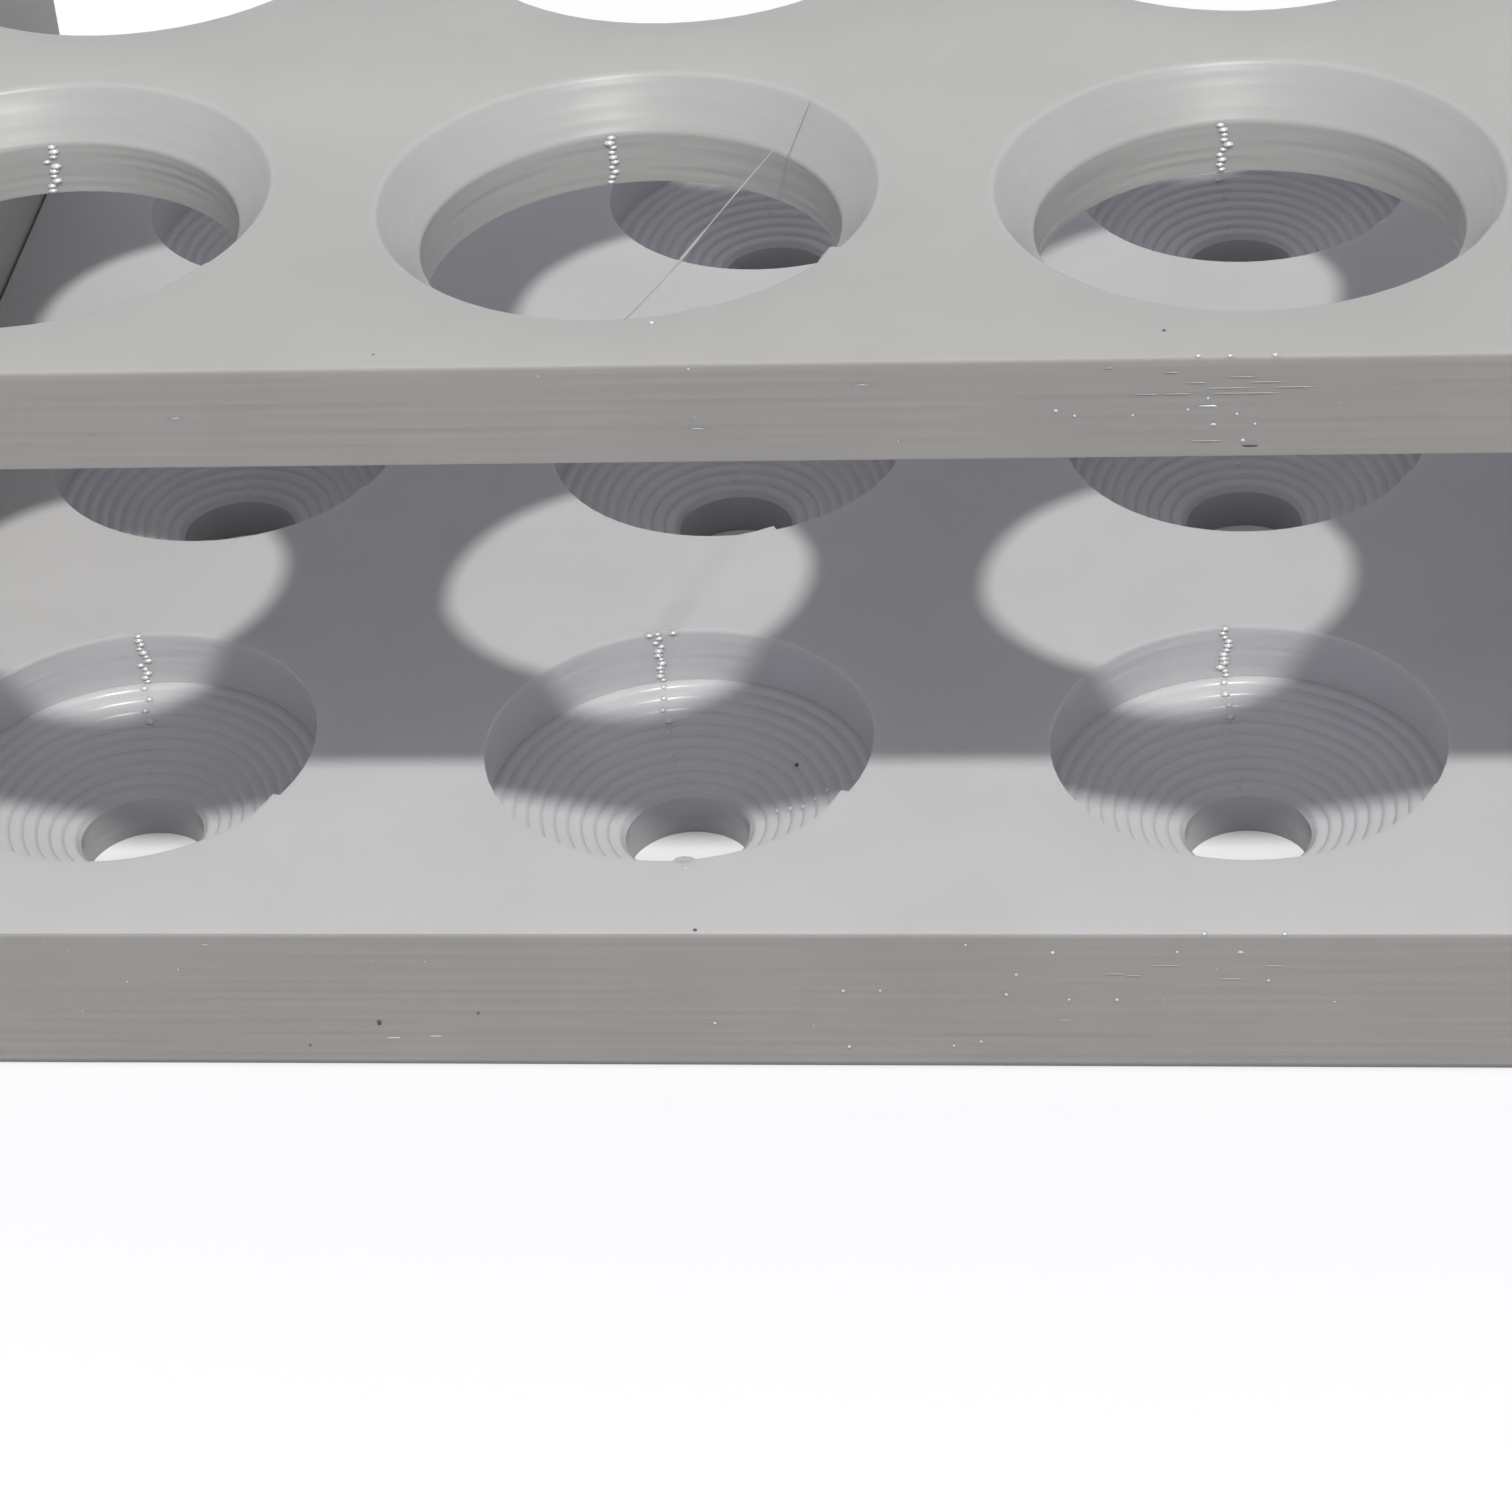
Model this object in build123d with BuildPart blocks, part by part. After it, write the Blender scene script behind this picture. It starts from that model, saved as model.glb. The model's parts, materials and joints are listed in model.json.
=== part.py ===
from build123d import *
import os
from math import atan2, degrees

# Test tube rack, 3D printed in four flat pieces and pressed together. The lower plate lies on the
# bench and has a seat for each tube. Two end walls stand on it and carry the upper plate, which
# has a hole over each seat. Millimetres: X runs along the rack, Y from its front to its back and
# Z up. The origin is the middle of the lower plate's underside.
os.makedirs("parts", exist_ok=True)

# Tube places
columns = 4
rows = 3

# Bore that guides a tube: the hole in the upper plate, and the well of the seat under it
tube_bore = 14.8

# Lead-in that widens the top of each upper hole into its mouth
lead_in_width = 1.4
lead_in_depth = 1.8

# Seat in the lower plate: a straight well, a cone that centres the tube's bottom, then a drain
well_depth = 2.4
cone_depth = 2.0
drain_length = 1.8
drain_bore = 4.8

# Plates
upper_thickness = 3.8
plate_gap = 20.0
plate_corner_chamfer = 2.0

# Plate left between two mouths, outside the mouths at the front and back, and at each end
# between a mouth and the wall, then beyond the wall
mouth_web = 3.9
front_rim = 3.0
wall_web = 4.0
end_ledge = 4.0

# End walls, set back from the plates' front and back edges
wall_thickness = 5.0
wall_setback = 4.0

# Tenons on a wall's upper and lower edges, and the play round them in the plates' mortises
tenon_width = 14.0
tenon_inset = 6.0
tenons_per_edge = 2
tenon_clearance = 0.15
tenon_shortfall = 0.2

# Sizes and levels that follow from these
mouth_diameter = tube_bore + 2 * lead_in_width
pitch = mouth_diameter + mouth_web
lower_thickness = well_depth + cone_depth + drain_length
end_margin = mouth_diameter / 2 + wall_web + wall_thickness + end_ledge
front_margin = mouth_diameter / 2 + front_rim
plate_length = (columns - 1) * pitch + 2 * end_margin
plate_depth = (rows - 1) * pitch + 2 * front_margin
wall_depth = plate_depth - 2 * wall_setback
wall_x = plate_length / 2 - end_ledge - wall_thickness / 2
tenon_span = wall_depth - 2 * tenon_inset - tenon_width
tenon_spacing = tenon_span / (tenons_per_edge - 1)
upper_bottom = lower_thickness + plate_gap
upper_top = upper_bottom + upper_thickness
lead_in_angle = 2 * degrees(atan2(lead_in_width, lead_in_depth))


def plate_outline():
    """Plan of a plate, with the mortises for the tenons of both end walls."""
    outline = Rectangle(plate_length, plate_depth)
    chamfer(outline.vertices(), length=plate_corner_chamfer)
    with GridLocations(2 * wall_x, tenon_spacing, 2, tenons_per_edge):
        Rectangle(
            wall_thickness + 2 * tenon_clearance,
            tenon_width + 2 * tenon_clearance,
            mode=Mode.SUBTRACT,
        )


def tenons(shoulder, length, align):
    """Tenons along one edge of a wall, up or down from the shoulder that the plate meets."""
    with Locations((0, shoulder)):
        with GridLocations(tenon_spacing, length, tenons_per_edge, 1):
            Rectangle(tenon_width, length, align=(Align.CENTER, align))


# Half section of a seat, turned about the tube's axis into the hollow that it leaves in the plate
with BuildPart() as seat_hollow:
    with BuildSketch(Plane.XZ):
        with BuildLine():
            Polyline(
                (0, 0),
                (tube_bore / 2, 0),
                (tube_bore / 2, -well_depth),
                (drain_bore / 2, -well_depth - cone_depth),
                (drain_bore / 2, -lower_thickness),
                (0, -lower_thickness),
                close=True,
            )
        make_face()
    revolve(axis=Axis.Z)

# Lower plate: the rack's foot, with a seat for each tube that drains through to the bench
with BuildPart() as lower_plate:
    with BuildSketch():
        plate_outline()
    extrude(amount=lower_thickness)
    with Locations(Plane.XY.offset(lower_thickness)):
        with GridLocations(pitch, pitch, columns, rows):
            add(seat_hollow.part, mode=Mode.SUBTRACT)
lower_plate.part.label = "lower_plate"
export_step(lower_plate.part, "parts/lower_plate.step")

# Upper plate: a hole over each seat, with a countersunk lead-in
with BuildPart() as upper_plate:
    with BuildSketch(Plane.XY.offset(upper_bottom)):
        plate_outline()
    extrude(amount=upper_thickness)
    with Locations(Plane.XY.offset(upper_top)):
        with GridLocations(pitch, pitch, columns, rows):
            CounterSinkHole(
                radius=tube_bore / 2,
                counter_sink_radius=mouth_diameter / 2,
                depth=upper_thickness,
                counter_sink_angle=lead_in_angle,
            )
upper_plate.part.label = "upper_plate"
export_step(upper_plate.part, "parts/upper_plate.step")

# Left end wall: it stands on the lower plate, and its tenons pass through both plates
with BuildPart() as left_end_wall:
    with BuildSketch(Plane.YZ.offset(-wall_x)):
        with Locations((0, lower_thickness)):
            Rectangle(wall_depth, plate_gap, align=(Align.CENTER, Align.MIN))
        tenons(lower_thickness, lower_thickness - tenon_shortfall, Align.MAX)
        tenons(upper_bottom, upper_thickness - tenon_shortfall, Align.MIN)
    extrude(amount=wall_thickness / 2, both=True)
left_end_wall.part.label = "left_end_wall"
export_step(left_end_wall.part, "parts/left_end_wall.step")

# Right end wall: the left one mirrored
with BuildPart() as right_end_wall:
    mirror(left_end_wall.part, about=Plane.YZ)
right_end_wall.part.label = "right_end_wall"
export_step(right_end_wall.part, "parts/right_end_wall.step")
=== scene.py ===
# %% [markdown]
# A test tube rack from a filament 3D printer.
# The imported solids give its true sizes, but they are smooth. A real print is a stack of thin
# layers, each drawn by a nozzle, and that is what the eye sees from close by. So this script
# loads the solids as a fixed frame and builds every printed piece again, layer by layer.

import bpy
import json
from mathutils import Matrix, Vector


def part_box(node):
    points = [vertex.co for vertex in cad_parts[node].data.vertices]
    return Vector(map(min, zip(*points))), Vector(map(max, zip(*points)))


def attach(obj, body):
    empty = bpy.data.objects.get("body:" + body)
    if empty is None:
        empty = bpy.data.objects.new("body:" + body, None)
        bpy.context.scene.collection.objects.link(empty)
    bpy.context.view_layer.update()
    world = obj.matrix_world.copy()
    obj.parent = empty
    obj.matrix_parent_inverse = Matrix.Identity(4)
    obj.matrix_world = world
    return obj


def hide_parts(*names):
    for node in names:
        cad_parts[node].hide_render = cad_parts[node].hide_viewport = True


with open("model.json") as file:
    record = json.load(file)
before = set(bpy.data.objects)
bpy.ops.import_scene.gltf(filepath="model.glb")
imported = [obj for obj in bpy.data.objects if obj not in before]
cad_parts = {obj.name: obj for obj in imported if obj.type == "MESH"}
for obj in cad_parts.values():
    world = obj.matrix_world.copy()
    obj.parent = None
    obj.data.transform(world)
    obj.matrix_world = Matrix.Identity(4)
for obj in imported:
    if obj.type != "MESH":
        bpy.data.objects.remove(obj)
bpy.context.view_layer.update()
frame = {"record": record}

# %% [markdown]
# The script works in millimetres, as a maker would, and turns to metres only where a mesh is
# written. Sizes that the solids can tell are read from them: each piece's box, and the middle of
# each tube place from the openings in the record. The rest are named where they are first used.
# A place goes by the end of its opening's name: a1 to a4 are the front row from the left, and
# b and c are the rows behind it.

# %% Read the sizes of the rack
import json
from math import cos, pi, radians, sin, tau

import bmesh
import bpy
import numpy as np
from mathutils import Matrix, Vector
from mathutils.geometry import delaunay_2d_cdt

METRES_PER_MM = 0.001


def box_in_mm(node):
    """Lowest and highest corner of one solid, in millimetres."""
    return [np.array(corner) / METRES_PER_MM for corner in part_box(node)]


lower_low, lower_high = box_in_mm("lower_plate")
upper_low, upper_high = box_in_mm("upper_plate")
places = {
    opening["name"].split("_")[-1]: np.mean(opening["box_m"], axis=0)[:2] / METRES_PER_MM
    for opening in frame["record"]["physics"]["openings"]
    if opening["name"].startswith("tube_place")
}
bore_radius = frame["record"]["mounts"][0]["dims"]["r_mm"]
print(len(places), "tube places of", 2 * bore_radius, "mm bore:", *places)

# %% [markdown]
# The printer lays beads of plastic 0.2 mm high. Seen from the side, each bead is a little round,
# so a wall is a crest on every layer with a groove between two layers. No layer lies exactly on
# the one below: each is set back by up to a hundredth of a millimetre and wanders a little along
# its way. These small faults are what makes the fine lines on the rack's front. They are drawn
# at random, but from a fixed start, so the rack is the same every time.

# %% Set the print's layer height and its small faults
layer = 0.2
groove_depth = 0.018
layer_set_back = 0.01
wander = 0.006
wave_sizes = 0.3, 1.0
chance = np.random.default_rng(20)


def wandering(share_round, slowest, fastest, size):
    """A smooth closed line of random waves, as a layer's wander from its true line."""
    waves = np.arange(slowest, fastest + 1)
    starts = chance.uniform(0, tau, len(waves))
    sizes = size * chance.uniform(*wave_sizes, len(waves)) / np.sqrt(len(waves))
    turns = tau * waves[:, None] * share_round + starts[:, None]
    return (sizes[:, None] * np.sin(turns)).sum(axis=0)


print("layers in the lower plate:", round(lower_high[2] / layer))

# %% [markdown]
# A wall can be described by a list of levels, from the bottom up: how high it is, how far it is
# set back there, and which layer it belongs to. A straight wall needs two levels a layer, the
# groove and the crest. Smooth shading between them gives the bead its round look, so more levels
# would only cost triangles. The first layer may slope in towards the bench, as its foot, and the
# last may have a narrow rounded brim.

# %% Levels up a straight wall


def straight_levels(bottom, top, radii=(0.0, 0.0), first_layer=0, foot=None, brim=None):
    """(height, radius, layer) up a straight or leaning wall. The grooves have the larger radius.

    radii are at the bottom and the top. On an outer wall they are how far it is set back.
    """
    levels = []
    lean = (radii[1] - radii[0]) / (top - bottom)
    for number in range(round((top - bottom) / layer)):
        rise = number * layer
        groove, crest = radii[0] + lean * rise, radii[0] + lean * (rise + layer / 2)
        levels.append((bottom + rise, groove + groove_depth, first_layer + number))
        levels.append((bottom + rise + layer / 2, crest, first_layer + number))
    if foot is not None:
        levels[0] = (bottom, radii[0] + foot, first_layer)
        levels[1] = (bottom + layer / 2, radii[0] + foot / 2, first_layer)
    if brim is not None:
        levels.append((top, radii[1] + brim, levels[-1][2]))
    return levels


print("levels up the lower plate's side:", len(straight_levels(0, lower_high[2])))

# %% [markdown]
# A printer can't draw a cone. It draws a flight of round terraces, each one layer high, and in
# the seats they show as rings. Each terrace is a bead with a round nose, so five levels turn it
# over from its foot onto the flat of the tread. The nose is a list of shares: how far back over
# the tread, and how far up the layer.

# %% Levels up a cone of terraces
nose = [(0.0, 0.0), (0.1, 0.35), (0.22, 0.74), (0.4, 0.95), (0.7, 1.0)]
first_terrace = 0.2


def terrace_levels(bottom, top, low_radius, high_radius, first_layer=0):
    """(height, radius, layer) up a cone, as the terraces that its layers make."""
    count = round((top - bottom) / layer)
    tread = (high_radius - low_radius) / count
    levels = []
    for number in range(count):
        height = bottom + number * layer
        radius = low_radius + (number + first_terrace) * tread
        for back, rise in nose:
            levels.append((height + rise * layer, radius + back * tread, first_layer + number))
    return levels


print("levels on a terrace:", len(nose))

# %% [markdown]
# The nozzle draws each ring of a hole in one go, and where the ring closes the plastic may not
# quite meet: the rim then has a little step. So a hole's rings get even points all round, and a
# close pair of points at each such step. The step is highest there and fades over some degrees.

# %% Directions round a hole, with a pair at each step in its rim
points_round_hole = 56
first_direction = 0.01
step_half_width = 0.004


def hole_directions(steps):
    """Directions for the points of a ring. steps are (angle, fade, height) of the steps in it."""
    pairs = [
        radians(angle) + side
        for angle, fade, _ in steps
        for side in (-radians(fade), -radians(fade) / 2, -step_half_width, step_half_width)
    ]
    last_direction = first_direction + tau
    even = np.linspace(first_direction, last_direction, points_round_hole, endpoint=False)
    return np.sort(np.concatenate([even, pairs]) % tau)


def step_reach(directions, steps):
    """How far each point of a ring stands in from the true circle because of the steps."""
    reach = np.zeros(len(directions))
    for angle, fade, high in steps:
        behind = (radians(angle) - directions) % tau
        reach += high * np.clip(1 - behind / radians(fade), 0, 1)
    return reach


print("points round a hole:", len(hole_directions([])))

# %% [markdown]
# A hole's wall is then one ring of points for every level. The points of one layer share their
# faults, and the next layer draws new ones. A hole is a tight curve and wanders more than a
# straight side does, in long slow waves. The steps show only in the topmost layers.

# %% Wall of one round hole
hole_waves = 2, 7
hole_wander = 2 * wander
layers_with_step = 3


def hole_wall(middle, levels, steps):
    """Rings up the wall of a round hole."""
    directions = hole_directions(steps)
    inward = step_reach(directions, steps)
    last_layer = levels[-1][2]
    rings = []
    layer_now = None
    for height, radius, number in levels:
        if number != layer_now:
            layer_now = number
            set_back = chance.uniform(0, layer_set_back)
            wander_now = wandering(directions / tau, *hole_waves, hole_wander)
        reach = radius + set_back + wander_now
        if number > last_layer - layers_with_step:
            reach = reach - inward
        x = middle[0] + reach * np.cos(directions)
        y = middle[1] + reach * np.sin(directions)
        rings.append(np.stack([x, y, np.full(len(x), height)], axis=1))
    return np.array(rings)


print("a hole wanders by up to", hole_wander, "mm")

# %% [markdown]
# The outline of a plate or a wall is a polygon. Points are set about 1.5 mm apart along its
# sides, so that each layer has somewhere to wander, and every corner gets three points, because
# the nozzle can't draw a corner sharper than itself.

# %% Points along an outline
point_spacing = 1.5
corner_rounding = 0.3


def outline_points(corners):
    """Points along a polygon and the outward direction at each. The corners go anticlockwise."""
    points, outward = [], []
    corners = [np.array(corner, float) for corner in corners]
    befores, afters = corners[-1:] + corners[:-1], corners[1:] + corners[:1]
    for before, corner, after in zip(befores, corners, afters):
        arriving = (corner - before) / np.linalg.norm(corner - before)
        leaving = (after - corner) / np.linalg.norm(after - corner)
        out_before = np.array([arriving[1], -arriving[0]])
        out_after = np.array([leaving[1], -leaving[0]])
        between = (out_before + out_after) / np.linalg.norm(out_before + out_after)
        cut = corner_rounding / 2 * (leaving - arriving)
        points.append(corner - corner_rounding * arriving)
        points.append(corner + cut / 2)
        points.append(corner + corner_rounding * leaving)
        outward += [out_before, between, out_after]
        length = np.linalg.norm(after - corner) - 2 * corner_rounding
        for share in np.linspace(0, 1, max(2, round(length / point_spacing)))[1:-1]:
            points.append(corner + leaving * (corner_rounding + share * length))
            outward.append(out_after)
    return np.array(points), np.array(outward)


ten_by_ten = [(0, 0), (10, 0), (10, 10), (0, 10)]
print("points round a square of 10 mm:", len(outline_points(ten_by_ten)[0]))

# %% [markdown]
# An outer wall has one ring for every level too. It stays a twentieth of a millimetre inside the
# solid's side, so that no crest, drop or speck on it makes the rack bigger than its solids.

# %% Outer wall of a printed piece
outline_waves = 6, 40
inside_outline = 0.05


def outer_wall(corners, levels):
    """Rings up the outer wall of a piece, each layer a little inside the piece's true outline."""
    points, outward = outline_points(corners)
    share_round = np.linspace(0, 1, len(points), endpoint=False)
    rings = []
    layer_now = None
    for height, back, number in levels:
        if number != layer_now:
            layer_now = number
            set_back = inside_outline + chance.uniform(0, layer_set_back)
            set_back = set_back + wandering(share_round, *outline_waves, wander)
        inside = points - outward * (back + set_back)[:, None]
        rings.append(np.column_stack([inside, np.full(len(points), height)]))
    return np.array(rings)


print("outer walls stay", inside_outline, "mm inside the solids")

# %% [markdown]
# A nozzle leaves drops as well. One stays where each ring starts, and since the slicer put all
# those starts at the back of every hole, the drops stand in a column there, the seam, which
# glints: partly from the drops' gloss and partly from a painted highlight, since their colour is
# nearly white. Others are scattered over the walls. Each is a small closed shell, sunk into the
# wall.
# A ball that is stretched along three axes is enough for a drop, a streak or a speck of dust.

# %% One drop of plastic
drop_around, drop_up = 8, 3


def drop_shape():
    """Points and faces of a ball with a radius of 1."""
    points = [(0, 0, -1)]
    for up in range(1, drop_up + 1):
        rise = -pi / 2 + pi * up / (drop_up + 1)
        for step in range(drop_around):
            turn = tau * step / drop_around
            points.append((cos(rise) * cos(turn), cos(rise) * sin(turn), sin(rise)))
    points.append((0, 0, 1))
    faces = []
    for step in range(drop_around):
        after = (step + 1) % drop_around
        faces.append((0, 1 + after, 1 + step))
        for up in range(drop_up - 1):
            low, high = 1 + up * drop_around, 1 + (up + 1) * drop_around
            faces.append((low + step, low + after, high + after, high + step))
        faces.append((high + step, high + after, len(points) - 1))
    return np.array(points), faces


ball_points, ball_faces = drop_shape()


def drop(middle, half_sizes, finish, turn=0):
    """A drop with its half sizes along, across and up, turned about the vertical by turn."""
    points = ball_points * half_sizes
    x = points[:, 0] * cos(turn) - points[:, 1] * sin(turn)
    y = points[:, 0] * sin(turn) + points[:, 1] * cos(turn)
    return np.column_stack([x, y, points[:, 2]]) + middle, ball_faces, finish


print("triangles in a drop:", sum(len(face) - 2 for face in ball_faces))

# %% [markdown]
# A piece is some stacks of rings, its outer wall and the wall of each hole. Its top and bottom
# are flat faces with holes in them. Blender's constrained Delaunay triangulation fills them
# between the rims, so the mesh is closed all round. It fills the holes as well, so the triangles
# whose middle lies in a hole are left out.

# %% Flat ends with holes in them
TRIANGLES_INSIDE = 1
same_point = 1e-7


def inside_loop(spots, loop):
    """Which spots lie inside a closed loop, from the sides that a line to their right meets."""
    x, y = spots[:, :1], spots[:, 1:]
    x0, y0 = loop.T
    x1, y1 = np.roll(loop, -1, axis=0).T
    spans = (y0 > y) != (y1 > y)
    meets = x < x0 + (y - y0) * (x1 - x0) / np.where(spans, y1 - y0, 1)
    return (spans & meets).sum(axis=1) % 2 == 1


def flat_end(loops, points):
    """Triangles of a flat end, inside the first loop of point numbers and outside the others."""
    numbers = np.concatenate(loops)
    sides, first = [], 0
    for loop in loops:
        here = first + np.arange(len(loop))
        sides += np.stack([here, np.roll(here, -1)], axis=1).tolist()
        first += len(loop)
    flat = [Vector(points[number][:2]) for number in numbers]
    found = delaunay_2d_cdt(flat, sides, [], TRIANGLES_INSIDE, same_point)
    corners, triangles, sources = np.array(found[0]), np.array(found[2]), found[3]
    middles = corners[triangles].mean(axis=1)
    kept = np.ones(len(triangles), bool)
    for loop in loops[1:]:
        kept &= ~inside_loop(middles, points[loop][:, :2])
    number_of = np.array([numbers[source[0]] for source in sources])
    return number_of[triangles[kept]].tolist()


square = np.array([(*corner, 0) for corner in ten_by_ten], float)
print("triangles that fill a square:", len(flat_end([np.arange(4)], square)))

# %% [markdown]
# Now the stacks become strips of quads, and the ends and the drops join them in one mesh. Every
# face gets the number of its finish: the flat skin, the layers of an outer wall, the layers of a
# hole, a melted drop or a speck of dust. Smooth shading rounds the beads, and edges of more than
# 50 degrees stay sharp, as at the foot of a terrace.

# %% Turn stacks of rings into a closed mesh
SKIN, OUTER_LAYERS, HOLE_LAYERS, DROP, DUST = range(5)
sharp_edge = radians(50)


def face_outward(mesh):
    """Turns all faces of a closed mesh outward, and tells whether it is closed."""
    work = bmesh.new()
    work.from_mesh(mesh)
    bmesh.ops.recalc_face_normals(work, faces=work.faces)
    print(mesh.name, "open edges:", sum(not edge.is_manifold for edge in work.edges))
    work.to_mesh(mesh)
    work.free()


def printed_piece(name, stacks, shells=(), axes=Matrix.Identity(4)):
    """A closed mesh from stacks of rings and small shells, in millimetres.

    axes turns the mesh to the way the piece stands.
    """
    points, faces, finishes, start = [], [], [], 0
    bottom_loops, top_loops = [], []
    for stack, finish in stacks:
        rings, around = stack.shape[:2]
        index = start + np.arange(rings * around).reshape(rings, around)
        ahead = np.roll(index, -1, axis=1)
        quads = np.stack([index[:-1], ahead[:-1], ahead[1:], index[1:]], axis=-1).reshape(-1, 4)
        points.append(stack.reshape(-1, 3))
        faces += quads.tolist()
        finishes += [finish] * len(quads)
        bottom_loops.append(index[0])
        top_loops.append(index[-1])
        start += rings * around
    walls = np.concatenate(points)
    for loops in (bottom_loops, top_loops):
        end = flat_end(loops, walls)
        faces += end
        finishes += [SKIN] * len(end)
    for shell, shell_faces, finish in shells:
        points.append(shell)
        faces += [[start + number for number in face] for face in shell_faces]
        finishes += [finish] * len(shell_faces)
        start += len(shell)
    points = np.concatenate(points) * METRES_PER_MM
    mesh = bpy.data.meshes.new(name)
    mesh.from_pydata(points.tolist(), [], faces)
    mesh.polygons.foreach_set("material_index", finishes)
    face_outward(mesh)
    mesh.transform(axes)
    mesh.shade_smooth()
    mesh.set_sharp_from_angle(angle=sharp_edge)
    piece = bpy.data.objects.new(name, mesh)
    bpy.context.scene.collection.objects.link(piece)
    print(name, "has", sum(len(face.vertices) - 2 for face in mesh.polygons), "triangles")
    return piece


print("finishes of a printed piece:", DUST + 1)

# %% [markdown]
# Both plates have one outline, a rectangle with its corners cut off, and slots for the tenons of
# the end walls. The walls' boxes tell where those slots are.

# %% Outline and slots of the plates
corner_chamfer = 2.0
tenon_width = 14.0
tenon_inset = 6.0
tenon_clearance = 0.15
wall_low, wall_high = box_in_mm("left_end_wall")
wall_middle = (wall_low + wall_high) / 2
wall_thickness = wall_high[0] - wall_low[0]
wall_depth = wall_high[1] - wall_low[1]
tenon_offset = wall_depth / 2 - tenon_inset - tenon_width / 2


def plate_corners(low, high):
    """The eight corners of a plate's outline, anticlockwise from the front left."""
    left, front = low[:2]
    right, back = high[:2]
    cut = corner_chamfer
    return [
        (left, front + cut), (left + cut, front), (right - cut, front), (right, front + cut),
        (right, back - cut), (right - cut, back), (left + cut, back), (left, back - cut),
    ]


def slot_wall(x, y, bottom, top):
    """Rings up the wall of one slot for a tenon."""
    half_x = wall_thickness / 2 + tenon_clearance
    half_y = tenon_width / 2 + tenon_clearance
    corners = [
        (x - half_x, y - half_y), (x + half_x, y - half_y),
        (x + half_x, y + half_y), (x - half_x, y + half_y),
    ]
    return np.array([[(*corner, height) for corner in corners] for height in (bottom, top)])


def slots(bottom, top):
    """The slots for all tenons, in one plate."""
    return [
        (slot_wall(x, y, bottom, top), HOLE_LAYERS)
        for x in (wall_middle[0], -wall_middle[0])
        for y in (-tenon_offset, tenon_offset)
    ]


print("tenons at", tenon_offset, "mm from the middle line")

# %% [markdown]
# The drops go on next. In a hole there is one on nearly every layer at the seam, a little to the
# left or right of the layer below. The photograph shows where the seam is in the two nearest
# seats, and the others get one close to those. Far down in a seat the drops are smaller.

# %% Drops at the seams
hole_seams = dict(zip(places, chance.uniform(95, 103, len(places))))
hole_seams["a2"], hole_seams["a3"] = 102, 97
seam_drop = np.array([0.14, 0.2, 0.11])
seam_drop_sunk = 0.25 * seam_drop[0]
seam_drop_sizes = 0.75, 1.15
seam_spread = 0.08
layers_of_large_drops = 17
small_drop = 0.5


def seam_drops(middle, angle, levels, top_layer):
    """A drop on each layer of a hole at its seam, smaller below the top layers."""
    drops = []
    for number in sorted({level[2] for level in levels}):
        own_levels = [level for level in levels if level[2] == number]
        height, radius, _ = own_levels[len(own_levels) // 2]
        large = number > top_layer - layers_of_large_drops
        size = chance.uniform(*seam_drop_sizes) * (1 if large else small_drop)
        turn = radians(angle) + chance.normal(0, seam_spread) / radius
        reach = radius + seam_drop_sunk
        spot = middle[0] + reach * cos(turn), middle[1] + reach * sin(turn), height
        drops.append(drop(spot, size * seam_drop, DROP, turn))
    return drops


print("seams at", {place: round(float(angle), 1) for place, angle in hole_seams.items()})

# %% [markdown]
# On the outer walls the drops are scattered. Most are round, and one in four is a short dash
# along its layer. On the front the photograph shows where some of the larger ones are, some
# streaks so flat that they only catch a little more light, and a few specks of dark dust.

# %% Drops, streaks and dust on the outer walls
drop_deep, drop_high = 0.045, 0.05
drop_sunk = 0.03
half_lengths = [0.06, 0.06, 0.06, 0.5]
scattered_sizes = 0.35, 0.9
known_half_length = 0.055
known_sizes = 1.1, 1.6
end_margin = corner_chamfer + 1
bottom_margin, top_margin = 0.4, 0.15
streak_deep, streak_high = 0.04, 0.035
streak_sunk = 0.02
dust_flatness = 0.6
ALONG_X, ALONG_Y = 0, 1


def wall_drops(low, high, count, known):
    """Drops scattered over a plate's four outer walls, and at the known (x, z) on its front."""
    sides = [(low[1], ALONG_X), (high[1], ALONG_X), (low[0], ALONG_Y), (high[0], ALONG_Y)]
    spots = [
        (low[1], ALONG_X, x, z, chance.uniform(*known_sizes), known_half_length)
        for x, z in known
    ]
    for number in range(count):
        edge, along = sides[number % len(sides)]
        reach = high[along] - end_margin
        height = chance.uniform(low[2] + bottom_margin, high[2] - top_margin)
        size = chance.uniform(*scattered_sizes)
        long = chance.choice(half_lengths)
        spots.append((edge, along, chance.uniform(-reach, reach), height, size, long))
    drops = []
    for edge, along, place, height, size, long in spots:
        inner = edge - np.sign(edge) * (inside_outline + drop_sunk)
        spot = (place, inner, height) if along == ALONG_X else (inner, place, height)
        half_sizes = size * np.array([long, drop_deep, drop_high])
        drops.append(drop(spot, half_sizes, DROP, 0 if along == ALONG_X else pi / 2))
    return drops


def front_streaks(front, known):
    """Thin raised streaks on a plate's front, at the known (x, z, half length)."""
    inner = front + inside_outline + streak_sunk
    return [
        drop((x, inner, z), (long, streak_deep, streak_high), OUTER_LAYERS) for x, z, long in known
    ]


def dust(spots, half_size):
    """Dark specks at the given spots, half sunk into the surface there."""
    sizes = half_size, half_size, dust_flatness * half_size
    return [drop(spot, sizes, DUST) for spot in spots]


longest_dash = 2 * max(half_lengths) * max(scattered_sizes)
print("a dash on a wall is", longest_dash, "mm long at most")

# %% [markdown]
# The lower plate's seats, from the bench up, are the drain, the cone's terraces and the straight
# well that a tube stands in. The well's topmost ring opens a little, as a printed edge does. The
# steps in the front rims are where the photograph shows them, and the other seats get small ones.

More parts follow.
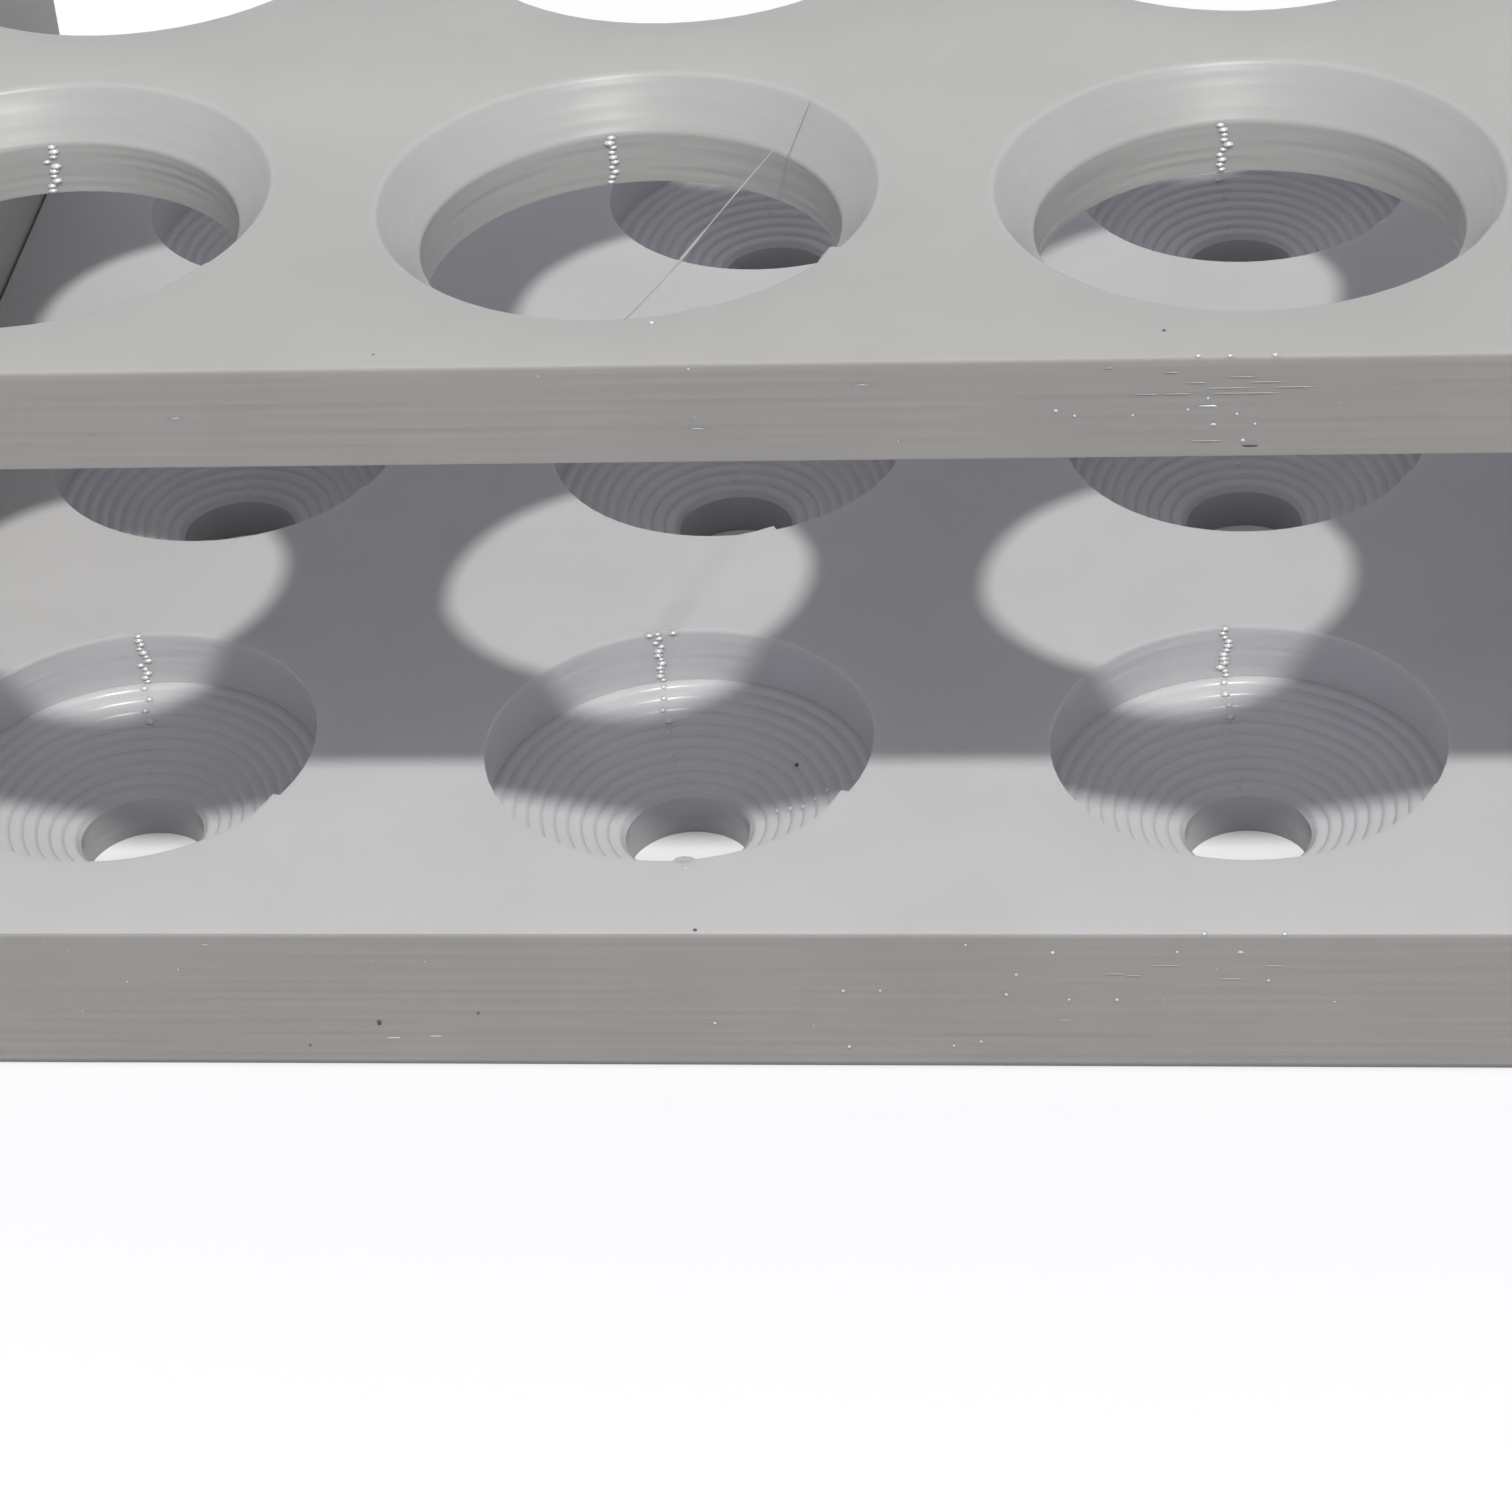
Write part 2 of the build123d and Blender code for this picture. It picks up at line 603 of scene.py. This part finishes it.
# %% Levels and steps of the seats
drain_radius = 2.4
drain_length = 1.8
cone_depth = 2.0
top_rounding = 0.04
cone_top = drain_length + cone_depth
drain_layers = round(drain_length / layer)
cone_layers = round(cone_depth / layer)
seat_layers = round(lower_high[2] / layer)
drain_levels = straight_levels(0, drain_length, (drain_radius, drain_radius))
cone_levels = terrace_levels(drain_length, cone_top, drain_radius, bore_radius, drain_layers)
well_radii = bore_radius, bore_radius
well_bottom_layer = drain_layers + cone_layers
well_levels = straight_levels(
    cone_top, lower_high[2], well_radii, well_bottom_layer, brim=top_rounding
)
seat_levels = drain_levels + cone_levels + well_levels
step_angles = -34, -20
seat_step_fade = 14
seat_step_heights = 0.06, 0.16
seat_steps = {
    place: [(chance.uniform(*step_angles), seat_step_fade, chance.uniform(*seat_step_heights))]
    for place in places
}
seat_steps["a1"] = [(-27, 14, 0.28)]
seat_steps["a2"] = [(-26, 17, 0.32)]
seat_steps["b2"] = [(-70, 12, 0.3)]
print("a seat is", len(seat_levels), "levels high, of which", len(cone_levels), "are terraces")

# %% [markdown]
# These are the lower plate's drops. The listed ones are where the photograph shows them, as x and
# z on the front, and a streak's half length comes third.

# %% Drops on the front and at the seams of the lower plate
lower_drop_count = 190
lower_shells = wall_drops(lower_low, lower_high, lower_drop_count, [
    (-3.84, 3.6), (-2.5, 3.6), (-3.76, 0.96), (0.06, 1.02), (1.05, 1.22),
    (2.41, 4.35), (2.03, 3.43), (4.28, 3.2), (10.37, 5.42), (5.99, 3.2),
    (-8.6, 2.06), (0.65, 5.71), (3.74, 5.36), (8.15, 5.4), (11.38, 4.1),
])
lower_shells += front_streaks(lower_low[1], [
    (7.72, 4.78, 0.6), (6.58, 4.32, 0.4), (10.07, 4.18, 0.5), (11.57, 4.78, 0.4), (5.9, 4.4, 0.5),
])
for place, angle in hole_seams.items():
    lower_shells += seam_drops(places[place], angle, cone_levels + well_levels, seat_layers)
print("drops on the lower plate:", len(lower_shells))

# %% [markdown]
# The seat in the middle of the photograph, a2, has more of them. Five near-white drops sit on its
# terraces at the right, as painted glints where the noses catch the light, the seam spreads out
# where it meets the rim, and a bump of plastic stands in the rim at the front, with a small drop
# before it. Three larger drops lie on and under the plate's front edge. Dark dust has settled in
# the seat, on the plate and on its front.

# %% Glints, rim drops and dust of the lower plate
cone_tread = (bore_radius - drain_radius) / cone_layers
glint_out, glint_up = 0.25, 0.5
glint_half_sizes = 0.09, 0.07, 0.12
# Near-white drops on the terrace noses, as painted glints.
for number, angle in [(2, 11.5), (3, 8.2), (4, 5.5), (5, 7.5), (6, 10.0)]:
    turn = radians(angle)
    reach = drain_radius + (number + glint_out) * cone_tread
    x = places["a2"][0] + reach * cos(turn)
    y = places["a2"][1] + reach * sin(turn)
    height = drain_length + (number + glint_up) * layer
    lower_shells.append(drop((x, y, height), glint_half_sizes, DROP, turn))
seam_top = lower_high[2] - 0.1
lower_shells += [
    drop((-12.66, -14.32, seam_top), (0.2, 0.13, 0.1), DROP),
    drop((-11.72, -14.14, seam_top), (0.18, 0.13, 0.1), DROP),
    drop((-9.85, -28.82, seam_top - 0.02), (0.45, 0.3, 0.12), SKIN, 0.1),
    drop((-9.72, -29.31, lower_high[2]), (0.12, 0.09, 0.03), DROP),
    drop((9.11, -33.14, lower_high[2]), (0.13, 0.09, 0.04), DROP),
    drop((11.93, -33.14, lower_high[2]), (0.13, 0.09, 0.04), DROP),
    drop((10.39, -33.22, 5.39), (0.13, 0.06, 0.06), DROP),
]
lower_shells += dust([(-9.04, -32.99, lower_high[2])], 0.08)
lower_shells += dust([(-6.67, -18.55, 2.87)], 0.1)
lower_shells.append(drop((-20.98, -33.24, 2.06), (0.09, 0.05, 0.13), DUST))
lower_shells += dust([(-17.26, -33.24, 2.52), (-23.69, -33.24, 0.97)], 0.055)
print("drops and specks on the lower plate:", len(lower_shells))

# %% [markdown]
# Now the lower plate can be built. Its first layer slopes in towards the bench, so that it gets no
# light from above, and that is the dark line at the rack's foot.

# %% Build the lower plate
foot_rounding = 0.12
side_levels = straight_levels(0, lower_high[2], foot=foot_rounding, brim=top_rounding)
lower_side = outer_wall(plate_corners(lower_low, lower_high), side_levels)
lower_stacks = [(lower_side, OUTER_LAYERS)]
for place, middle in places.items():
    lower_stacks.append((hole_wall(middle, seat_levels, seat_steps[place]), HOLE_LAYERS))
lower_stacks += slots(0, lower_high[2])
lower_print = printed_piece("lower_plate_print", lower_stacks, lower_shells)

# %% [markdown]
# One hair of plastic was drawn across a hole of the upper plate when the nozzle moved away. It
# starts thick, with a bead on it, sags a little and thins out. A curve with a bevel could make
# it, but a mesh can join the plate's own, so it is a tube with six sides.

# %% A hair of stray plastic
hair_around = 6
hair_start, hair_end = np.array([-9.9, -30.3, 29.9]), np.array([-4.75, -14.8, 29.85])
hair_points = 15
hair_sag = 0.25
hair_wave = 0.05
hair_bends, hair_swells = 9, 23
hair_radius, hair_thinning, hair_unevenness = 0.034, 0.014, 0.006
bead_on_hair = 0.06, 0.05


def hair(path, radii, finish):
    """A closed tube along a path that lies nearly flat, with its own radius at every point."""
    path = np.array(path, float)
    along = np.gradient(path, axis=0)
    along /= np.linalg.norm(along, axis=1)[:, None]
    side = np.cross(along, (0, 0, 1))
    side /= np.linalg.norm(side, axis=1)[:, None]
    up = np.cross(side, along)
    points = []
    for centre, radius, across, above in zip(path, radii, side, up):
        for step in range(hair_around):
            turn = tau * step / hair_around
            points.append(centre + radius * (cos(turn) * across + sin(turn) * above))
    faces = [tuple(range(hair_around))[::-1]]
    for ring in range(len(path) - 1):
        for step in range(hair_around):
            after = (step + 1) % hair_around
            low, high = ring * hair_around, (ring + 1) * hair_around
            faces.append((low + step, low + after, high + after, high + step))
    faces.append(tuple(range((len(path) - 1) * hair_around, len(path) * hair_around)))
    return np.array(points), faces, finish


share = np.linspace(0, 1, hair_points)
hair_path = hair_start + share[:, None] * (hair_end - hair_start)
hair_path[:, 2] -= 4 * hair_sag * share * (1 - share)
hair_path[:, 0] += hair_wave * np.sin(hair_bends * share)
hair_radii = hair_radius - hair_thinning * share + hair_unevenness * np.sin(hair_swells * share)
hair_radii[4:6] = bead_on_hair
print("the hair is", round(float(np.linalg.norm(hair_end - hair_start)), 1), "mm long")

# %% [markdown]
# The upper plate's holes have a bore and a lead-in. The lead-in is so steep that each layer steps
# out by less than its own height, so it shows no terraces and looks smooth. The plate's last
# layer is a little short, which leaves room for the drops and the dust that lie on it.

# %% Levels and steps of the upper holes
lead_in_width = 1.4
lead_in_depth = 1.8
last_layer_short = 0.05
mouth_rounding = 0.1
upper_top = upper_high[2] - last_layer_short
lead_in_bottom = upper_high[2] - lead_in_depth
bore_layers = round((lead_in_bottom - upper_low[2]) / layer)
bore_levels = straight_levels(upper_low[2], lead_in_bottom, (bore_radius, bore_radius))
lead_in_radii = bore_radius, bore_radius + lead_in_width
lead_in_levels = straight_levels(
    lead_in_bottom, upper_top, lead_in_radii, bore_layers, brim=mouth_rounding
)
mouth_step_fade = 12
mouth_step_heights = 0.04, 0.1
mouth_steps = {
    place: [(chance.uniform(*step_angles), mouth_step_fade, chance.uniform(*mouth_step_heights))]
    for place in places
}
mouth_steps["a2"] = [(-29, 8, 0.33), (-67, 8, 0.12)]
print("an upper hole is", len(bore_levels + lead_in_levels), "levels high")

# %% [markdown]
# These are the upper plate's drops and specks, again where the photograph shows them. One is a
# long dark mark on the front.

# %% Drops, hair and dust of the upper plate
upper_drop_count = 150
upper_shells = wall_drops(upper_low, upper_high, upper_drop_count, [
    (9.49, 27.41), (4.43, 28.0), (5.03, 27.8), (6.92, 27.79), (9.35, 28.4),
    (8.7, 27.98), (10.28, 27.8), (10.86, 27.41), (10.47, 26.79),
])
upper_shells += front_streaks(upper_low[1], [
    (10.84, 28.59, 0.9), (9.88, 28.59, 0.5), (10.44, 29.2, 0.5), (8.36, 28.59, 0.6),
    (7.36, 28.59, 0.5), (8.97, 29.0, 0.4), (9.28, 26.79, 0.6), (11.2, 29.0, 0.7),
    (10.0, 28.79, 0.9), (12.1, 28.8, 0.8), (8.2, 29.4, 0.3), (6.18, 29.59, 0.2),
])
upper_shells.append(drop((9.51, -33.22, 27.41), (0.13, 0.06, 0.06), DROP))
for place, angle in hole_seams.items():
    upper_shells += seam_drops(places[place], angle, bore_levels, bore_layers)
upper_shells += [
    drop((x, y, upper_top - 0.03), (0.13, 0.09, 0.075), DROP)
    for x, y in [(-8.94, -30.53), (9.04, -33.1), (10.06, -33.12), (11.5, -33.1)]
]
upper_shells.append(hair(hair_path, hair_radii, SKIN))
upper_shells += dust([(7.94, -31.51, upper_top - 0.02)], 0.08)
upper_shells += dust([(-18.0, -32.33, upper_top - 0.02)], 0.05)
upper_shells.append(drop((10.7, -33.22, 26.58), (0.3, 0.05, 0.04), DUST))
print("drops and specks on the upper plate:", len(upper_shells))

# %% [markdown]
# The upper plate is built as the lower one was. The photograph shows no dark line at its bottom
# edge, so it has a brim but no foot.

# %% Build the upper plate
side_levels = straight_levels(upper_low[2], upper_top, brim=top_rounding)
upper_side = outer_wall(plate_corners(upper_low, upper_high), side_levels)
upper_stacks = [(upper_side, OUTER_LAYERS)]
hole_levels = bore_levels + lead_in_levels
for place, middle in places.items():
    upper_stacks.append((hole_wall(middle, hole_levels, mouth_steps[place]), HOLE_LAYERS))
upper_stacks += slots(upper_low[2], upper_top)
upper_print = printed_piece("upper_plate_print", upper_stacks, upper_shells)

# %% [markdown]
# The end walls are printed lying on their side, as flat pieces are, so their layers stack along
# the rack and their big faces are smooth. The outline is drawn in the wall's own plane and the
# finished mesh is turned to stand up.

# %% Build the end walls
lying_to_standing = Matrix(((0, 0, 1, 0), (1, 0, 0, 0), (0, 1, 0, 0), (0, 0, 0, 1)))


def wall_corners():
    """The wall's outline with its tenons, as (along the depth, up)."""
    half = wall_depth / 2
    lower_shoulder, upper_shoulder = lower_high[2], upper_low[2]
    below, above = wall_low[2], wall_high[2]
    corners = [(-half, lower_shoulder)]
    for middle in (-tenon_offset, tenon_offset):
        left, right = middle - tenon_width / 2, middle + tenon_width / 2
        corners += [(left, lower_shoulder), (left, below), (right, below), (right, lower_shoulder)]
    corners += [(half, lower_shoulder), (half, upper_shoulder)]
    for middle in (tenon_offset, -tenon_offset):
        left, right = middle - tenon_width / 2, middle + tenon_width / 2
        corners += [(right, upper_shoulder), (right, above), (left, above), (left, upper_shoulder)]
    return corners + [(-half, upper_shoulder)]


def end_wall(name, start_x):
    """An end wall whose layers stack along X from start_x."""
    end_x = start_x + wall_thickness
    levels = straight_levels(start_x, end_x, foot=top_rounding, brim=top_rounding)
    stacks = [(outer_wall(wall_corners(), levels), OUTER_LAYERS)]
    return printed_piece(name, stacks, axes=lying_to_standing)


prints = {
    "lower_plate": lower_print,
    "upper_plate": upper_print,
    "left_end_wall": end_wall("left_end_wall_print", wall_low[0]),
    "right_end_wall": end_wall("right_end_wall_print", -wall_high[0]),
}

# %% [markdown]
# Each print now takes the place of its solid. The rack has no joints, so all four ride on the
# root.

# %% Put the prints in the solids' places
for node, piece in prints.items():
    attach(piece, "root")
    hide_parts(node)
print("pieces printed:", len(prints))

# %% [markdown]
# Colours are written as hex values, as on a colour card. Blender's shaders want linear light, so
# one function turns them.

# %% Colours


def linear(hex_colour):
    """The linear colour of an sRGB hex value such as "#BCBBB7"."""
    channels = [int(hex_colour[i:i + 2], 16) / 255 for i in (1, 3, 5)]
    return [c / 12.92 if c <= 0.04045 else ((c + 0.055) / 1.055) ** 2.4 for c in channels] + [1]


print("#BCBBB7 is", [round(channel, 3) for channel in linear("#BCBBB7")], "in linear light")

# %% [markdown]
# A shader is a tree of nodes. One small function adds a node, sets what isn't left at its
# default, and links it to the nodes before it. An input goes by its name, or by its number where
# several have the same name.

# %% Nodes


def add_node(tree, kind, settings=None, links=None):
    """Adds a node, sets its sockets or properties by name, and links its inputs."""
    node = tree.nodes.new(kind)
    for name, value in (settings or {}).items():
        if name in node.inputs:
            node.inputs[name].default_value = value
        else:
            setattr(node, name, value)
    for name, source in (links or {}).items():
        tree.links.new(source, node.inputs[name])
    return node


def new_material(name):
    """A material with an empty node tree."""
    material = bpy.data.materials.new(name)
    material.use_nodes = True
    material.node_tree.nodes.clear()
    print("material", name)
    return material, material.node_tree


print("materials that came with the solids:", len(bpy.data.materials))

# %% [markdown]
# The plastic is PLA, drawn out of a hot nozzle. It sets with a satin skin, smoother than paper and
# duller than a moulded part, so its roughness is about 0.4 and it keeps a plastic's IOR of 1.46.
# Fine clouding breaks up its colour, and a grain of a tenth of a millimetre roughens it. A little
# light goes into the plastic and comes out again about a millimetre away, which softens the edges
# of the terraces. A drop melts smooth before it sets, and a clear coat gives it its shine, with an
# IOR that was raised until the drops glinted as they do in the photograph.

# %% Printed PLA
cloud_size = 6.0
cloud_detail = 3.0
cloud_limits = 0.3, 0.7
grain_size = 0.12
grain_detail = 2.0
grain_height = 0.004
grain_strength = 0.35
pla_ior = 1.46
glow_share = 0.3
glow_depth = Vector((1.0, 0.9, 0.85))
coat_roughness = 0.3
coat_ior = 2.2


def printed_pla(name, dark, light, roughness, gloss=0.0):
    """Printed PLA whose colour clouds between two hex values. gloss is a clear melted coat."""
    material, tree = new_material(name)
    where = add_node(tree, "ShaderNodeTexCoord").outputs["Object"]
    clouds = add_node(
        tree, "ShaderNodeTexNoise",
        {"Scale": 1 / (cloud_size * METRES_PER_MM), "Detail": cloud_detail}, {"Vector": where},
    )
    grain = add_node(
        tree, "ShaderNodeTexNoise",
        {"Scale": 1 / (grain_size * METRES_PER_MM), "Detail": grain_detail}, {"Vector": where},
    )
    ramp = add_node(tree, "ShaderNodeValToRGB", {}, {"Fac": clouds.outputs["Fac"]})
    for element, place, colour in zip(ramp.color_ramp.elements, cloud_limits, (dark, light)):
        element.position = place
        element.color = linear(colour)
    skin = add_node(
        tree, "ShaderNodeBump",
        {"Strength": grain_strength, "Distance": grain_height * METRES_PER_MM},
        {"Height": grain.outputs["Fac"]},
    )
    plastic = add_node(
        tree, "ShaderNodeBsdfPrincipled",
        {
            "Roughness": roughness,
            "IOR": pla_ior,
            "Coat Weight": gloss,
            "Coat Roughness": coat_roughness,
            "Coat IOR": coat_ior,
            "Subsurface Weight": glow_share,
            "Subsurface Radius": glow_depth,
            "Subsurface Scale": METRES_PER_MM,
        },
        {"Base Color": ramp.outputs["Color"], "Normal": skin.outputs["Normal"]},
    )
    add_node(tree, "ShaderNodeOutputMaterial", {}, {"Surface": plastic.outputs["BSDF"]})
    return material


print("the plastic has a grain of", grain_size, "mm and clouds of", cloud_size, "mm")

# %% [markdown]
# One light grey filament gives several finishes, and their colours were matched to the photograph
# in the render, so several of them carry painted light and shade. The lower plate's skin is paler
# than the upper one's: painted light for the extra light that reaches it between the plates. An
# outer wall's colour is darker than a flat skin's: painted shade for the grooves between its
# layers.
# The seats are paler still, painted light for the light that bounces about inside them, and their
# beads are glossier, because a nozzle slows down in tight curves and leaves them smooth. A melted
# drop is coloured nearly white, a painted highlight on top of the shine of its coat. The dust is
# no part of the plastic, but grey and dull with a fine grain, so the same function makes it.

# %% Finishes of the rack
upper_skin = printed_pla("pla_upper_skin", "#B5B4AD", "#BAB9B2", 0.42)
# Paler than the upper skin: painted light for the extra light between the plates.
lower_skin_painted_light = printed_pla("pla_lower_skin", "#CDCCCB", "#D2D1D0", 0.42)
# Darker than the skin: painted shade for the grooves between the layers.
outer_layers_painted_shade = printed_pla("pla_outer_layers", "#B1AEA8", "#B6B3AD", 0.4)
upper_holes = printed_pla("pla_upper_holes", "#B8B7B3", "#BDBCB8", 0.38)
# Paler than the skin: painted light for the light that bounces about in the seats.
seats = printed_pla("pla_seats", "#D1D0D1", "#D6D5D6", 0.28)
# Nearly white: a painted highlight on every drop.
melted_drop_painted_highlight = printed_pla("pla_melted_drop", "#EEEDEB", "#F4F3F1", 0.3, gloss=1.0)
dark_dust = printed_pla("dark_dust", "#5A5957", "#6A6967", 0.8)
for node, piece in prints.items():
    on_top, in_holes = (lower_skin_painted_light, seats) if node == "lower_plate" else (upper_skin, upper_holes)
    for finish in (on_top, outer_layers_painted_shade, in_holes, melted_drop_painted_highlight, dark_dust):
        piece.data.materials.append(finish)

# %% [markdown]
# The bench is a plain matt white plane, like a sheet of paper. The camera and reflections see it
# white, while for light that bounces about it is a mid grey, so that it doesn't wash out the shade
# on the rack's front.

# %% Floor
bench_size = 2.0
bpy.ops.mesh.primitive_plane_add(size=bench_size)
bench = bpy.context.object
bench.name = "bench"
bench_white, tree = new_material("white_bench")
path = add_node(tree, "ShaderNodeLightPath")
seen_white = add_node(
    tree, "ShaderNodeMath", {"operation": "MAXIMUM"},
    {0: path.outputs["Is Camera Ray"], 1: path.outputs["Is Glossy Ray"]},
)
bench_colour = add_node(
    tree, "ShaderNodeMixRGB",
    {"Color1": linear("#707070"), "Color2": linear("#FFFFFF")},
    {"Fac": seen_white.outputs["Value"]},
)
matt = add_node(tree, "ShaderNodeBsdfDiffuse", {}, {"Color": bench_colour.outputs["Color"]})
add_node(tree, "ShaderNodeOutputMaterial", {}, {"Surface": matt.outputs["BSDF"]})
bench.data.materials.append(bench_white)

# %% [markdown]
# One key lamp stands in front of the rack, a little to the right and high up. It is a sun, since
# all the shadows lie the same way, and some five times as wide as the real one, since their edges
# are soft. Its light goes through the upper holes and draws them on the lower plate.

# %% Key light
key_travel = Vector((-0.147, 0.523, -1.0)).normalized()
key = bpy.data.lights.new("key", "SUN")
key.energy = 2.05
key.color = (1.0, 0.995, 0.965)
key.angle = radians(2.6)
key_lamp = bpy.data.objects.new("key", key)
key_lamp.rotation_euler = key_travel.to_track_quat("-Z", "Y").to_euler()
bpy.context.scene.collection.objects.link(key_lamp)
print("the key light stands", round(np.degrees(np.arcsin(-key_travel.z))), "degrees high")

# %% [markdown]
# A pale blue surround fills the shade from all sides. The camera sees a white page instead of it.

# %% Surround
world = bpy.data.worlds.new("surround")
world.use_nodes = True
tree = world.node_tree
tree.nodes.clear()
path = add_node(tree, "ShaderNodeLightPath")
fill = add_node(tree, "ShaderNodeBackground", {"Color": linear("#EEEFFE"), "Strength": 0.56})
page = add_node(tree, "ShaderNodeBackground", {"Color": linear("#FFFFFF"), "Strength": 1.0})
surround = add_node(
    tree, "ShaderNodeMixShader", {},
    {
        "Fac": path.outputs["Is Camera Ray"],
        1: fill.outputs["Background"],
        2: page.outputs["Background"],
    },
)
add_node(tree, "ShaderNodeOutputWorld", {}, {"Surface": surround.outputs["Shader"]})
bpy.context.scene.world = world
print("nodes in the surround:", len(tree.nodes))

# %% [markdown]
# The photograph was taken from close by, from the front and above, with a long lens. Its place and
# its three turns were worked out from the plates' edges and the round holes.

# %% Camera
camera_place = Vector((9.675, -153.40, 102.67)) * METRES_PER_MM
camera_pan, camera_tilt, camera_roll = -7.569, 36.148, -4.698
camera_data = bpy.data.cameras.new("camera")
camera_data.sensor_width = 36
camera_data.lens = 103.16
camera_data.clip_start = 0.01
camera = bpy.data.objects.new("camera", camera_data)
camera.matrix_world = (
    Matrix.Translation(camera_place)
    @ Matrix.Rotation(radians(-camera_pan), 4, "Z")
    @ Matrix.Rotation(radians(90 - camera_tilt), 4, "X")
    @ Matrix.Rotation(radians(camera_roll), 4, "Z")
)
bpy.context.scene.collection.objects.link(camera)
bpy.context.scene.camera = camera
bpy.context.scene.view_settings.view_transform = "Standard"
print("the camera is", round(camera_place.length / METRES_PER_MM), "mm from the rack's middle")
